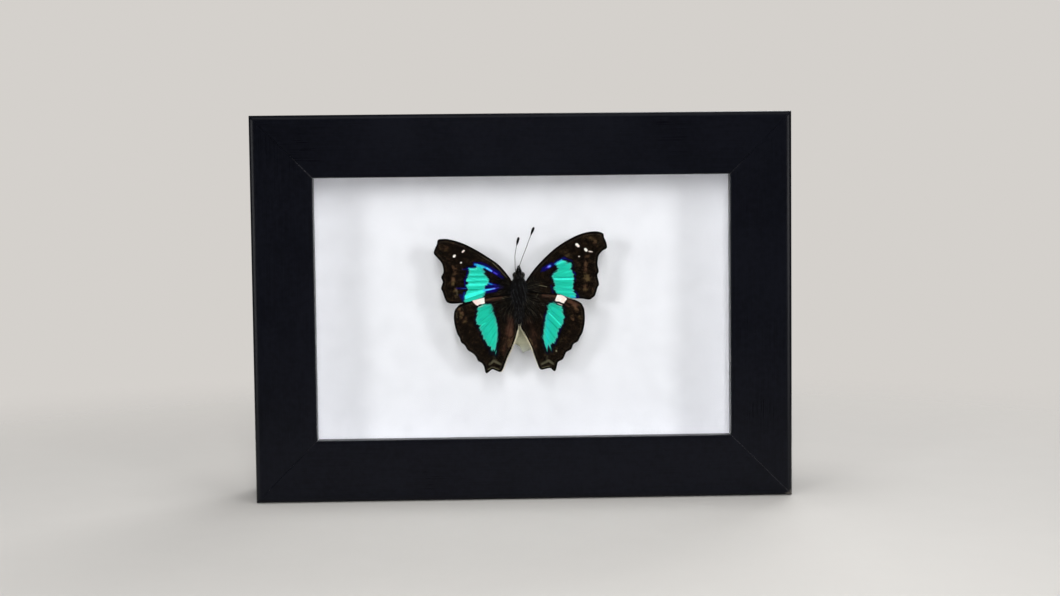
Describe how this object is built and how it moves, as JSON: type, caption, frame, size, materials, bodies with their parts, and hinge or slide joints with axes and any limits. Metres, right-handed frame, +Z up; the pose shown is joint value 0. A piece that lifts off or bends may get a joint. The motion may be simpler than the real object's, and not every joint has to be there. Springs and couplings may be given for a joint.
{
  "type": "framed butterfly specimen",
  "caption": "Spread turquoise-banded butterfly held clear of a white card inside a small black glazed box frame that stands on its lower rail.",
  "frame": {"origin": "middle of the underside of the bottom rail, at the bottom centre of the bounding box", "axes": "+Z up the frame, +X along its width to the right as seen from the front, -Y out of the glazed front"},
  "size_m": [0.18, 0.036, 0.129],
  "materials": {
    "moulding": "blue-black satin lacquer on a wood moulding",
    "glass": "clear float glass",
    "spacer": "matt white foam board",
    "card": "smooth matt white card",
    "board": "brown pressed fibreboard",
    "steel": "zinc plated",
    "body": "black hair and scales",
    "wing": "dark brown wing scales with a turquoise band",
    "antenna": "dull black"
  },
  "bodies": {
    "root": {"rail_bottom": "moulding", "rail_right": "moulding", "rail_top": "moulding", "rail_left": "moulding", "flex_point_bottom_1": "steel", "flex_point_bottom_2": "steel", "flex_point_right": "steel", "flex_point_top_1": "steel", "flex_point_top_2": "steel", "flex_point_left": "steel", "glass_pane": "glass", "spacer_bottom": "spacer", "spacer_top": "spacer", "spacer_left": "spacer", "spacer_right": "spacer", "mount_card": "card", "backing_board": "board", "hanger_plate": "steel", "hanger_rivet_left": "steel", "hanger_rivet_right": "steel", "butterfly_body": "body", "forewing_left": "wing", "forewing_right": "wing", "hindwing_left": "wing", "hindwing_right": "wing", "antenna_left": "antenna", "antenna_right": "antenna", "riser": "spacer"}
  },
  "joints": []
}
